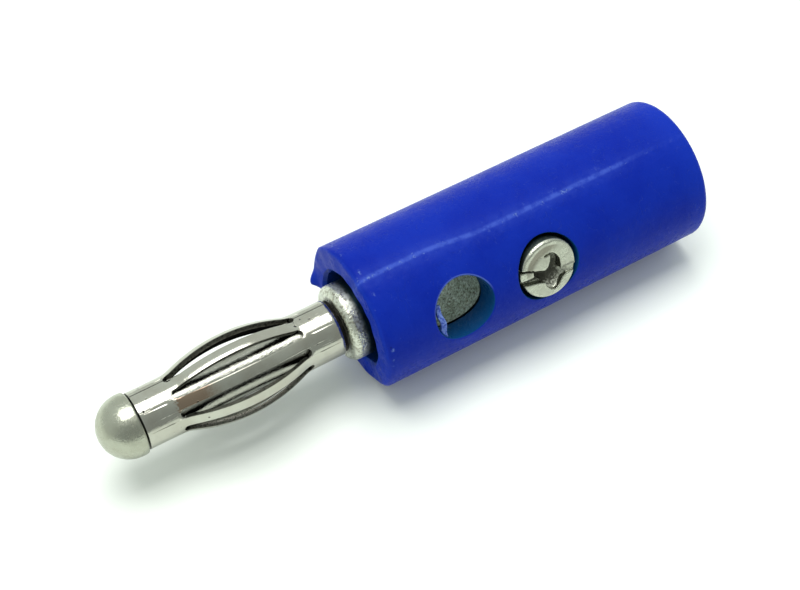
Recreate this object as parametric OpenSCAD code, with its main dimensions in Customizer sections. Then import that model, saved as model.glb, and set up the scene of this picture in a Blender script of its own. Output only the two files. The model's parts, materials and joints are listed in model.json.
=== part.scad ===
// Four millimetre banana plug with a side socket and a wire clamp screw.
// It stands on the flat rear end of its sleeve: +Z runs along the plug to the tip,
// and the screw and the mouth of the side socket face -Y. All sizes are in millimetres.

/* [Sleeve] */
// Outside diameter of the insulating sleeve
sleeve_d = 9.6; // [9:0.1:12]
// Length of the insulating sleeve
sleeve_len = 24.15; // [22:0.05:30]
// Radius of the moulded outer edges of the sleeve
sleeve_edge_r = 0.45; // [0.2:0.05:0.8]
// Diameter of the wire entry in the rear end
wire_entry_d = 4.6; // [3.4:0.1:5]
// Chamfer of the wire entry and of the front mouth
mouth_chamfer = 0.2; // [0.1:0.05:0.4]

/* [Contact body] */
// Diameter of the barrel that sits inside the sleeve
barrel_d = 6; // [5.6:0.1:6.6]
// Length of the barrel
barrel_len = 15.1; // [14.5:0.1:17]
// Gap all round between the barrel and the bore of the sleeve
barrel_clearance = 0.15; // [0.05:0.05:0.3]
// Depth of the barrel's front shoulder behind the front of the sleeve
shoulder_inset = 1.2; // [0.6:0.1:2]
// Diameter of the collar in front of the barrel
collar_d = 5; // [4.4:0.1:5.4]
// How far the collar stands out of the sleeve
collar_proud = 1.05; // [0.6:0.05:2]
// Radius of the collar's front edge
collar_edge_r = 0.5; // [0.2:0.05:0.6]
// Diameter of the domed tip
dome_d = 4; // [3.9:0.01:4.2]
// Height of the domed tip
dome_h = 2.4; // [2.1:0.05:2.8]
// Diameter of the bore that takes the bared wire
wire_bore_d = 3; // [2:0.1:3.4]
// Countersink of that bore and chamfer of the barrel's rear edge
barrel_chamfer = 0.3; // [0.1:0.05:0.5]
// Included angle of the drill point at the end of the wire bore
drill_angle = 118; // [90:1:140]

/* [Side socket] */
// Diameter of the cross hole that takes another plug
cross_hole_d = 4.1; // [4:0.05:4.4]
// Distance of the cross hole behind the barrel's front shoulder
cross_hole_inset = 4.45; // [3.6:0.05:5]
// Metal left between the wire bore's point and the cross hole
socket_web = 0.6; // [0.3:0.1:1]

/* [Clamp screw] */
// Distance of the screw behind the cross hole
screw_spacing = 6.1; // [5.4:0.05:7]
// Diameter of the screw's shank
screw_d = 2.5; // [2:0.1:2.8]
// Gap all round between the shank and its hole in the barrel
screw_clearance = 0.05; // [0.02:0.01:0.1]
// Diameter of the screw's head
head_d = 3.9; // [3.4:0.1:4.4]
// Height of the screw's head
head_h = 1.4; // [1.2:0.05:1.7]
// Radius of the head's outer edge
head_edge_r = 0.15; // [0.1:0.05:0.5]
// How far the head stands out of the sleeve
head_proud = 0.05; // [0:0.05:0.4]
// Gap all round between the head and its hole in the sleeve
head_clearance = 0.25; // [0.15:0.05:0.5]
// How far the screw's end reaches past the middle of the wire bore
screw_past_axis = 0.3; // [0:0.05:0.6]
// Chamfer of the screw's end
screw_end_chamfer = 0.3; // [0.1:0.05:0.5]
// Width of the driver slot
slot_w = 0.55; // [0.4:0.05:0.8]
// Depth of the driver slot
slot_depth = 0.6; // [0.4:0.05:0.9]
// Size of the cross recess from arm to arm
recess_d = 2.5; // [2:0.1:3]
// Width of an arm of the cross recess
recess_arm_w = 0.7; // [0.5:0.05:0.9]
// Diameter of the cross recess at its floor
recess_floor_d = 1; // [0.6:0.1:1.4]
// Depth of the cross recess
recess_depth = 1; // [0.7:0.05:1.1]
// Turn of the driver slot away from the plug's axis
slot_turn = 13; // [-90:1:90]

/* [Spring cage] */
// Outside diameter of the cage's end rings
ring_d = 3.66; // [3.5:0.01:3.8]
// Thickness of the strip that the cage is rolled from
strip_t = 0.3; // [0.2:0.01:0.35]
// Length of the cage
cage_len = 13.17; // [11:0.01:16]
// Number of sprung leaves
leaf_count = 9; // [6:1:10]
// Rise of the leaves above the end rings
leaf_rise = 0.83; // [0.4:0.01:1]
// Solid length of each end ring
ring_len = 2.2; // [1.5:0.05:2.5]
// Straight length of the leaves next to each end ring
leaf_straight = 0.35; // [0.35:0.05:0.6]
// Width of the slots where they leave the end rings
leaf_slot_w = 0.58; // [0.44:0.02:0.64]
// Width of the open seam of the rolled strip
seam_w = 0.06; // [0.04:0.01:0.12]
// Turn of the seam about the plug's axis
seam_turn = -3; // [-180:1:180]
// Gap between the core and the inside of the end rings
cage_clearance = 0.06; // [0.03:0.01:0.1]
// Gap between the cage and the collar
cage_rear_gap = 0.3; // [0.1:0.05:0.4]
// Gap between the cage and the domed tip
cage_front_gap = 0.13; // [0.05:0.01:0.2]

/* [Hidden] */
$fn = 64;
// Overlap that carries a cut cleanly past a face
eps = 0.05;

sleeve_r = sleeve_d / 2;
barrel_r = barrel_d / 2;
sleeve_bore_r = barrel_r + barrel_clearance;
collar_r = collar_d / 2;
dome_r = dome_d / 2;
ring_r = ring_d / 2;
ring_inner_r = ring_r - strip_t;
core_r = ring_inner_r - cage_clearance;

// Heights along the plug, from the rear face upwards
shoulder_z = sleeve_len - shoulder_inset;
barrel_z = shoulder_z - barrel_len;
cross_hole_z = shoulder_z - cross_hole_inset;
screw_z = cross_hole_z - screw_spacing;
drill_point_h = wire_bore_d / 2 / tan(drill_angle / 2);
wire_bore_end_z = cross_hole_z - cross_hole_d / 2 - socket_web - drill_point_h;
collar_front_z = sleeve_len + collar_proud;
cage_z = collar_front_z + cage_rear_gap;
cage_end_z = cage_z + cage_len;
dome_z = cage_end_z + cage_front_gap;
tip_z = dome_z + dome_h;

// Heights along the screw, from the plug's axis outwards
head_top = sleeve_r + head_proud;
head_seat = head_top - head_h;

// One arc carries each leaf from ring to ring
leaf_z = cage_z + ring_len + leaf_straight;
leaf_end_z = cage_end_z - ring_len - leaf_straight;
leaf_span = leaf_end_z - leaf_z;
leaf_arc_r = (leaf_span * leaf_span / 4 + leaf_rise * leaf_rise) / (2 * leaf_rise);
leaf_arc_x = ring_r + leaf_rise - leaf_arc_r;

// The slots are wedges whose sides keep every leaf at one width
leaf_pitch = 360 / leaf_count;
slot_apex_r = ring_r - leaf_slot_w / 2 / tan(leaf_pitch / 2);
slot_reach = ring_r + leaf_rise + eps - slot_apex_r;
slot_half_w = slot_reach * tan(leaf_pitch / 2);

// Waste at the upper corner of a half profile, which leaves an edge of radius e
module upper_corner(r, z, e) {
    translate([r - e, z - e])
        difference() {
            square(e + eps);
            circle(r = e);
        }
}

// Waste at the lower corner of a half profile, which leaves an edge of radius e
module lower_corner(r, z, e) {
    translate([0, 2 * z])
        mirror([0, 1])
            upper_corner(r, z, e);
}

// Conical countersink of depth c at the lower end of a hole of radius r
module lower_countersink(r, z, c) {
    translate([0, 0, z - eps])
        cylinder(h = c + eps, r1 = r + c + eps, r2 = r);
}

// Solid along the screw's own axis, which points out of the sleeve
module on_screw_axis() {
    translate([0, 0, screw_z])
        rotate([90, 0, 0])
            children();
}

// Cutter of the side socket, through everything
module cross_hole() {
    translate([0, 0, cross_hole_z])
        rotate([90, 0, 0])
            cylinder(h = sleeve_d + 2 * eps, d = cross_hole_d, center = true);
}

// Moulded tube with a ledge that the barrel's rear end seats on
module insulating_sleeve() {
    color("royalblue")
        difference() {
            rotate_extrude()
                difference() {
                    square([sleeve_r, sleeve_len]);
                    upper_corner(sleeve_r, sleeve_len, sleeve_edge_r);
                    lower_corner(sleeve_r, 0, sleeve_edge_r);
                }
            translate([0, 0, -eps])
                cylinder(h = sleeve_len, d = wire_entry_d);
            lower_countersink(wire_entry_d / 2, 0, mouth_chamfer);
            translate([0, 0, barrel_z])
                cylinder(h = sleeve_len, r = sleeve_bore_r);
            translate([0, 0, sleeve_len])
                mirror([0, 0, 1])
                    lower_countersink(sleeve_bore_r, 0, mouth_chamfer);
            cross_hole();
            on_screw_axis()
                cylinder(h = sleeve_d, d = head_d + 2 * head_clearance);
        }
}

// Half profile of the turned barrel, collar, core and domed tip
module contact_profile() {
    translate([0, barrel_z])
        difference() {
            square([barrel_r, barrel_len]);
            translate([barrel_r, 0])
                rotate(45)
                    square(barrel_chamfer * sqrt(2), center = true);
        }
    translate([0, shoulder_z - eps])
        square([core_r, dome_z - shoulder_z + 2 * eps]);
    difference() {
        translate([0, shoulder_z - eps])
            square([collar_r, collar_front_z - shoulder_z + eps]);
        upper_corner(collar_r, collar_front_z, collar_edge_r);
    }
    intersection() {
        translate([0, tip_z - dome_r])
            circle(r = dome_r);
        translate([0, dome_z])
            square([dome_r, dome_h + eps]);
    }
}

// One turned piece from the wire bore to the domed tip
module contact_body() {
    color("silver")
        difference() {
            rotate_extrude()
                contact_profile();
            translate([0, 0, barrel_z - eps])
                cylinder(h = wire_bore_end_z - barrel_z + eps, d = wire_bore_d);
            translate([0, 0, wire_bore_end_z])
                cylinder(h = drill_point_h, r1 = wire_bore_d / 2, r2 = 0);
            lower_countersink(wire_bore_d / 2, barrel_z, barrel_chamfer);
            cross_hole();
            on_screw_axis()
                cylinder(h = barrel_d, d = screw_d + 2 * screw_clearance);
        }
}

// Half profile of the rolled strip before its slots are cut
module cage_profile() {
    translate([ring_inner_r, cage_z])
        square([strip_t, leaf_z - cage_z]);
    translate([ring_inner_r, leaf_end_z])
        square([strip_t, cage_end_z - leaf_end_z]);
    intersection() {
        translate([leaf_arc_x, (leaf_z + leaf_end_z) / 2])
            difference() {
                circle(r = leaf_arc_r);
                circle(r = leaf_arc_r - strip_t);
            }
        translate([0, leaf_z])
            square([ring_r + leaf_rise + eps, leaf_span]);
    }
}

// Cutter of one slot between two leaves, with round ends
module leaf_slot() {
    slot_z = cage_z + ring_len + leaf_slot_w / 2;
    slot_end_z = cage_end_z - ring_len - leaf_slot_w / 2;
    translate([slot_apex_r, 0, slot_z]) {
        linear_extrude(slot_end_z - slot_z)
            polygon([[0, 0], [slot_reach, -slot_half_w], [slot_reach, slot_half_w]]);
        for (end_z = [0, slot_end_z - slot_z])
            translate([0, 0, end_z])
                rotate([0, 90, 0])
                    cylinder(h = slot_reach, r1 = 0, r2 = slot_half_w);
    }
}

// Lantern spring: a slotted strip rolled into a tube, with leaves that bow outwards
module spring_cage() {
    color("gainsboro")
        difference() {
            rotate_extrude()
                cage_profile();
            rotate(seam_turn) {
                for (i = [0 : leaf_count - 1])
                    rotate(i * leaf_pitch)
                        leaf_slot();
                translate([0, -seam_w / 2, cage_z - eps])
                    cube([ring_r + leaf_rise, seam_w, cage_len + 2 * eps]);
            }
        }
}

// Cutter of the driver slot and the tapered cross recess in the screw's head
module driver_recess() {
    translate([-slot_w / 2, -head_d / 2 - eps, head_top - slot_depth])
        cube([slot_w, head_d + 2 * eps, slot_depth + eps]);
    intersection() {
        translate([0, 0, head_top - recess_depth])
            for (arm_turn = [0, 90])
                rotate(arm_turn)
                    translate([-recess_d / 2, -recess_arm_w / 2, 0])
                        cube([recess_d, recess_arm_w, recess_depth + eps]);
        translate([0, 0, head_top - recess_depth])
            cylinder(h = recess_depth + eps, d1 = recess_floor_d, d2 = recess_d);
    }
}

// Screw that clamps the wire and holds the sleeve on the barrel
module clamp_screw() {
    color("lightgray")
        on_screw_axis()
            difference() {
                union() {
                    rotate_extrude()
                        difference() {
                            translate([0, head_seat])
                                square([head_d / 2, head_h]);
                            upper_corner(head_d / 2, head_top, head_edge_r);
                        }
                    translate([0, 0, screw_end_chamfer - screw_past_axis])
                        cylinder(h = head_seat + screw_past_axis - screw_end_chamfer + eps, d = screw_d);
                    translate([0, 0, -screw_past_axis])
                        cylinder(h = screw_end_chamfer, r1 = screw_d / 2 - screw_end_chamfer, r2 = screw_d / 2);
                }
                rotate(-slot_turn)
                    driver_recess();
            }
}

insulating_sleeve();
contact_body();
spring_cage();
clamp_screw();
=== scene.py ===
"""Looks of a four millimetre banana plug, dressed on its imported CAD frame.

Every piece is modelled in millimetres in the CAD frame (the plug stands on its rear end,
+Z runs to the tip, the screw and the side socket face -Y) and is brought to metres last.
"""
import json
import logging
import math
from contextlib import contextmanager
from dataclasses import dataclass, field
from enum import Enum
from typing import Callable, Iterator, Sequence

import bmesh
import bpy
from bmesh.types import BMEdge, BMFace
from bpy.types import Material, Node, NodeSocket, NodeTree, Object
from mathutils import Matrix, Vector


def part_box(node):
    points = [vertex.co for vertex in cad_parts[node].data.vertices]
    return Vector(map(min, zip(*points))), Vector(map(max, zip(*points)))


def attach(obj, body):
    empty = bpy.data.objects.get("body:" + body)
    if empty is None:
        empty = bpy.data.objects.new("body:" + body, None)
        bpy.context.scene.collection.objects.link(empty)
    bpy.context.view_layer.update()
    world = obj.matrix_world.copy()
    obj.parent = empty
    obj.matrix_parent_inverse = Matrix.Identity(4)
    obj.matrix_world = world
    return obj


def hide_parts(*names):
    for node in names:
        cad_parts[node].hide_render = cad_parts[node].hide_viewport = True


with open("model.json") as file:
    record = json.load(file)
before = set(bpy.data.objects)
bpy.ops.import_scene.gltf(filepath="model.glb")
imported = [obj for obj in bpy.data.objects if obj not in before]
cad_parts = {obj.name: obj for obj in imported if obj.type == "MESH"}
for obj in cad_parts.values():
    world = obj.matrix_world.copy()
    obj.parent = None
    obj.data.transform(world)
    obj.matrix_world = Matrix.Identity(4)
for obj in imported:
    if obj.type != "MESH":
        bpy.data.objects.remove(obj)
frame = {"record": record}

log = logging.getLogger("banana_plug")

MM = 0.001
MERGE = 0.002
FINE_MERGE = MERGE / 4
SHARP_DEGREES = 50.0
Point = tuple[float, float]
Span = tuple[float, float, float, float]
Colour = tuple[float, float, float, float]


class Body(Enum):
    """CAD bodies that the pieces ride on."""

    PLUG = "plug_body"
    CAGE = "spring_cage"
    SCREW = "clamp_screw"


class Slot(Enum):
    """Material slots of the record."""

    PLASTIC = "blue_plastic"
    SATIN = "satin_nickel"
    BRIGHT = "bright_nickel"
    STEEL = "plated_steel"


class Part(Enum):
    """What a selection in edit mode picks."""

    VERT = "VERT"
    EDGE = "EDGE"
    FACE = "FACE"


class Mode(Enum):
    """Ways to combine two closed meshes."""

    CUT = "DIFFERENCE"
    KEEP = "INTERSECT"
    ADD = "UNION"


def clear_selection() -> None:
    """Deselect every object, the CAD nodes among them."""
    bpy.ops.object.select_all(action="DESELECT")


def activate(obj: Object) -> None:
    """Make one object the only one selected and the active one."""
    clear_selection()
    obj.select_set(True)
    bpy.context.view_layer.objects.active = obj


@contextmanager
def editing(obj: Object) -> Iterator[None]:
    """Hold one object in edit mode.

    Args:
        obj: The mesh object to edit.
    """
    activate(obj)
    bpy.ops.object.mode_set(mode="EDIT")
    try:
        yield
    finally:
        bpy.ops.object.mode_set(mode="OBJECT")


def pick(obj: Object, part: Part, wanted: Callable[..., bool]) -> int:
    """Select, in edit mode, just the elements that a test wants.

    Args:
        obj: The object that is being edited.
        part: Whether vertices, edges or faces are tested.
        wanted: The test, which is given the element.

    Returns:
        How many elements were selected.
    """
    bpy.ops.mesh.select_mode(type=part.value)
    bpy.ops.mesh.select_all(action="DESELECT")
    mesh = bmesh.from_edit_mesh(obj.data)
    elements = {Part.VERT: mesh.verts, Part.EDGE: mesh.edges, Part.FACE: mesh.faces}[part]
    found = [element for element in elements if wanted(element)]
    for element in found:
        element.select_set(True)
    mesh.select_flush_mode()
    bmesh.update_edit_mesh(obj.data)
    return len(found)


def move_picked(obj: Object, move: Callable[[Vector], Vector]) -> None:
    """Move the selected vertices, in edit mode, by a formula.

    Args:
        obj: The object that is being edited.
        move: Gives a vertex's new place from its old one.
    """
    mesh = bmesh.from_edit_mesh(obj.data)
    for vertex in mesh.verts:
        if vertex.select:
            vertex.co = move(vertex.co.copy())
    bmesh.update_edit_mesh(obj.data)


def reshape(obj: Object, move: Callable[[Vector], Vector]) -> None:
    """Move every vertex of a mesh by a formula.

    Args:
        obj: The mesh object, in object mode.
        move: Gives a vertex's new place from its old one.
    """
    for vertex in obj.data.vertices:
        vertex.co = move(vertex.co.copy())
    obj.data.update()


def apply_modifier(obj: Object, kind: str, **values: object) -> None:
    """Add a modifier, set it up and apply it.

    Args:
        obj: The object that gets the modifier.
        kind: The modifier's type.
        values: Its settings.
    """
    activate(obj)
    modifier = obj.modifiers.new(kind.title(), kind)
    for name, value in values.items():
        setattr(modifier, name, value)
    bpy.ops.object.modifier_apply(modifier=modifier.name)


def bevel_edges(obj: Object, width: float) -> None:
    """Round every sharp edge of a mesh over a width."""
    limit = math.radians(SHARP_DEGREES)
    apply_modifier(obj, "BEVEL", width=width, segments=2, limit_method="ANGLE", angle_limit=limit)


def clean(obj: Object, distance: float = MERGE) -> None:
    """Merge doubled vertices, then turn every face outwards.

    Args:
        obj: The mesh object.
        distance: Vertices closer than this become one.
    """
    with editing(obj):
        bpy.ops.mesh.select_all(action="SELECT")
        bpy.ops.mesh.remove_doubles(threshold=distance)
        bpy.ops.mesh.normals_make_consistent(inside=False)


def join(target: Object, *others: Object) -> None:
    """Join other objects into the target's mesh.

    Args:
        target: The object that stays.
        others: The objects that go into it.
    """
    activate(target)
    for other in others:
        other.select_set(True)
    bpy.ops.object.join()


def duplicate(obj: Object) -> Object:
    """Copy an object with a mesh of its own.

    Args:
        obj: The object to copy.

    Returns:
        The copy.
    """
    activate(obj)
    bpy.ops.object.duplicate(linked=False)
    return bpy.context.object


def combine(obj: Object, other: Object, mode: Mode) -> None:
    """Combine two closed meshes and delete the second.

    Args:
        obj: The object that stays.
        other: The object that is cut away, kept to or added.
        mode: The way to combine them.
    """
    apply_modifier(obj, "BOOLEAN", object=other, operation=mode.value, solver="EXACT")
    activate(other)
    bpy.ops.object.delete()
    activate(obj)


def smooth_step(low: float, high: float, value: float) -> float:
    """Return 0 below low, 1 above high and a smooth rise between them."""
    share = min(1.0, max(0.0, (value - low) / (high - low)))
    return share * share * (3 - 2 * share)


def hump(span: Span, value: float) -> float:
    """Return a smooth rise over the first two numbers of a span and a fall over the last two."""
    return smooth_step(*span[:2], value) * (1 - smooth_step(*span[2:], value))


def arc(centre: Point, radius: float, start: float, end: float, steps: int) -> list[Point]:
    """Return points along an arc of a half profile.

    Args:
        centre: Centre of the arc, as radius and height.
        radius: Radius of the arc.
        start: First angle in degrees, from the outward direction upwards.
        end: Last angle in degrees.
        steps: Number of straight steps.

    Returns:
        The points, both ends included.
    """
    angles = [math.radians(start + (end - start) * i / steps) for i in range(steps + 1)]
    return [(centre[0] + radius * math.cos(a), centre[1] + radius * math.sin(a)) for a in angles]


def line(start: Point, end: Point, step: float) -> list[Point]:
    """Return points along a straight stretch of a half profile.

    Args:
        start: First point, as radius and height.
        end: Last point.
        step: Longest distance between two points.

    Returns:
        The points, both ends included.
    """
    count = max(1, math.ceil(math.dist(start, end) / step - 1e-6))
    return [
        (start[0] + (end[0] - start[0]) * i / count, start[1] + (end[1] - start[1]) * i / count)
        for i in range(count + 1)
    ]


def lathe(name: str, profile: Sequence[Point], steps: int) -> Object:
    """Spin a half profile about Z.

    Args:
        name: Name of the new object.
        profile: Points as radius and height: a closed ring, or an outline from axis to axis.
        steps: Number of steps round the axis.

    Returns:
        The turned mesh, closed and facing outwards.
    """
    clear_selection()
    bpy.ops.mesh.primitive_plane_add(size=1, location=(0, 0, 0))
    obj = bpy.context.object
    obj.name = name
    with editing(obj):
        bpy.ops.mesh.select_mode(type=Part.VERT.value)
        bpy.ops.mesh.select_all(action="SELECT")
        bpy.ops.mesh.merge(type="CENTER")
        place = profile[0]
        bpy.ops.transform.translate(value=(place[0], 0, place[1]))
        for point in profile[1:]:
            if math.dist(point, place) > MERGE:
                step = (point[0] - place[0], 0, point[1] - place[1])
                bpy.ops.mesh.extrude_region_move(TRANSFORM_OT_translate={"value": step})
                place = point
        bpy.ops.mesh.select_all(action="SELECT")
        bpy.ops.mesh.remove_doubles(threshold=MERGE)
        bpy.ops.mesh.spin(steps=steps, angle=math.tau, center=(0, 0, 0), axis=(0, 0, 1))
    clean(obj)
    return obj


@dataclass(frozen=True)
class SideHole:
    """Round hole along Y through the wall of a turned piece.

    Args:
        z: Height of the hole's axis.
        radius: Radius of the hole.
        margin: Wall round the hole that is meshed anew.
        patch_slack: How far off the wall a face of it may be, as a share of the wall's radius.
        rim_slack: The same for an edge.
        rim_reach: How far outside the patch an edge of it may be.
        patch_rings: Rings of new faces, less one.
        edge_rings: Faces across the rounding of the hole's edge.
    """

    z: float
    radius: float
    margin: float
    patch_slack: float = 0.03
    rim_slack: float = 0.04
    rim_reach: float = 0.5
    patch_rings: int = 2
    edge_rings: int = 3

    def window(self, obj: Object, wall_r: float, side: int) -> None:
        """Replace a patch of a round wall by rings that end at the hole's edge.

        Args:
            obj: The turned object.
            wall_r: Radius of the wall.
            side: -1 for the wall that faces -Y, 1 for the other.
        """
        reach = self.radius + self.margin
        angle_reach = math.asin(min(1.0, self.radius / wall_r)) + self.margin / wall_r

        def in_patch(face: BMFace) -> bool:
            """Return whether a face is on the wall and near the hole."""
            place = face.calc_center_median()
            near = abs(math.atan2(place.x, place.y * side)) < angle_reach and abs(place.z - self.z) < reach
            return near and abs(math.hypot(place.x, place.y) - wall_r) < self.patch_slack * wall_r

        def on_rim(edge: BMEdge) -> bool:
            """Return whether an open edge bounds the patch."""
            return len(edge.link_faces) < 2 and self._rim(edge, wall_r, side, reach)

        def to_wall(place: Vector) -> Vector:
            """Bring a place out to the wall."""
            scale = wall_r / math.hypot(place.x, place.y)
            return Vector((place.x * scale, place.y * scale, place.z))

        with editing(obj):
            pick(obj, Part.FACE, in_patch)
            bpy.ops.mesh.delete(type="FACE")
            around = pick(obj, Part.EDGE, on_rim)
            bpy.ops.mesh.select_all(action="DESELECT")
            bpy.ops.mesh.primitive_circle_add(
                vertices=around,
                radius=self.radius,
                location=(0, side * wall_r, self.z),
                rotation=(math.pi / 2, 0, 0),
            )
            move_picked(obj, lambda at: Vector((at.x, side * math.sqrt(wall_r**2 - at.x**2), at.z)))
            pick(obj, Part.EDGE, on_rim)
            bpy.ops.mesh.bridge_edge_loops(number_cuts=self.patch_rings, interpolation="LINEAR")
            move_picked(obj, to_wall)

    def _rim(self, edge: BMEdge, wall_r: float, side: int, reach: float) -> bool:
        """Return whether an edge is near this hole and on one wall."""
        place = (edge.verts[0].co + edge.verts[1].co) / 2
        return (
            place.y * side > 0
            and abs(place.z - self.z) < reach + self.rim_reach
            and abs(math.hypot(place.x, place.y) - wall_r) < self.rim_slack * wall_r
        )

    def tube(self, obj: Object, ends: Sequence[tuple[float, int]], cuts: int) -> None:
        """Join the hole's edges in two walls by a tube.

        Args:
            obj: The object with both windows.
            ends: The radius and the side of each wall.
            cuts: Rings between the two.
        """

        def open_end(edge: BMEdge) -> bool:
            """Return whether an open edge is at one of the tube's ends."""
            return edge.is_boundary and any(self._rim(edge, *end, self.radius) for end in ends)

        with editing(obj):
            pick(obj, Part.EDGE, open_end)
            bpy.ops.mesh.bridge_edge_loops(number_cuts=cuts, interpolation="LINEAR")

    def soften(self, obj: Object, wall_r: float, side: int, width: float) -> None:
        """Round the hole's edge in one wall.

        Args:
            obj: The object with the finished hole.
            wall_r: Radius of the wall.
            side: -1 for the wall that faces -Y, 1 for the other.
            width: Width of the rounding.
        """

        def on_edge(edge: BMEdge) -> bool:
            """Return whether both ends of an edge are on the hole's edge."""
            return all(
                v.co.y * side > 0
                and abs(math.hypot(v.co.x, v.co.z - self.z) - self.radius) < MERGE
                and abs(math.hypot(v.co.x, v.co.y) - wall_r) < MERGE
                for v in edge.verts
            )

        with editing(obj):
            pick(obj, Part.EDGE, on_edge)
            bpy.ops.mesh.bevel(
                offset=width, segments=self.edge_rings, profile=0.5, affect="EDGES", clamp_overlap=True
            )


class Tree:
    """Short words for adding and linking nodes in one node tree."""

    def __init__(self, tree: NodeTree) -> None:
        """Keep the tree and empty it."""
        self.tree = tree
        tree.nodes.clear()

    def add(self, kind: str, settings: dict | None = None, **inputs: object) -> Node:
        """Add a node.

        Args:
            kind: The node's type, without its ShaderNode prefix where it has one.
            settings: The node's own properties.
            inputs: Values or output sockets for its inputs, with _ for a space.

        Returns:
            The new node.
        """
        full = kind if kind.startswith("Node") else "ShaderNode" + kind
        node = self.tree.nodes.new(full)
        for name, value in (settings or {}).items():
            setattr(node, name, value)
        for name, value in inputs.items():
            self.feed(node, name.replace("_", " "), value)
        return node

    def feed(self, node: Node, name: str | int, value: object) -> None:
        """Set an input of a node, or link an output to it.

        Args:
            node: The node.
            name: The input's name or number.
            value: A constant, or an output socket.
        """
        if isinstance(value, NodeSocket):
            self.tree.links.new(value, node.inputs[name])
        else:
            node.inputs[name].default_value = value

    def fill(self, node: Node, *values: object) -> Node:
        """Feed a node's first inputs in order.

        Args:
            node: The node.
            values: Constants or output sockets.

        Returns:
            The same node.
        """
        for index, value in enumerate(values):
            self.feed(node, index, value)
        return node

    def maths(self, operation: str, *values: object) -> NodeSocket:
        """Return the result of a Math node over one to three values."""
        return self.fill(self.add("Math", {"operation": operation}), *values).outputs[0]

    def times(self, first: object, second: object) -> NodeSocket:
        """Return the product of two values."""
        return self.maths("MULTIPLY", first, second)

    def most(self, first: object, second: object) -> NodeSocket:
        """Return the greater of two values."""
        return self.maths("MAXIMUM", first, second)

    def less(self, first: object, second: object) -> NodeSocket:
        """Return the first value less the second."""
        return self.maths("SUBTRACT", first, second)

    def invert(self, value: object) -> NodeSocket:
        """Return one less a value."""
        return self.less(1.0, value)

    def gap(self, first: object, second: object) -> NodeSocket:
        """Return how far two values lie apart."""
        return self.maths("ABSOLUTE", self.less(first, second))

    def vector(self, operation: str, *values: object) -> Node:
        """Add a Vector Math node over one to three vectors and return the node."""
        return self.fill(self.add("VectorMath", {"operation": operation}), *values)

    def dot(self, first: object, second: object) -> NodeSocket:
        """Return the dot product of two vectors, which tells how far they agree."""
        return self.vector("DOT_PRODUCT", first, second).outputs["Value"]

    def parts(self, vector: NodeSocket) -> tuple[NodeSocket, ...]:
        """Return the three parts of a vector."""
        return tuple(self.add("SeparateXYZ", Vector=vector).outputs)

    def remap(self, value: object, low: float, high: float, to_low: object, to_high: object) -> NodeSocket:
        """Map a value smoothly from one range to another.

        Args:
            value: The value to map.
            low: Value that gives to_low.
            high: Value that gives to_high.
            to_low: First result.
            to_high: Second result.

        Returns:
            The mapped value.
        """
        node = self.add("MapRange", {"interpolation_type": "SMOOTHSTEP"})
        return self.fill(node, value, low, high, to_low, to_high).outputs["Result"]

    def blend(self, factor: object, first: object, second: object) -> NodeSocket:
        """Mix two colours.

        Args:
            factor: Share of the second colour.
            first: First colour or output socket.
            second: Second colour or output socket.

        Returns:
            The mixed colour.
        """
        node = self.add("Mix", {"data_type": "RGBA", "clamp_factor": True})
        for index, value in ((0, factor), (6, first), (7, second)):
            self.feed(node, index, value)
        return node.outputs[2]


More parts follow.
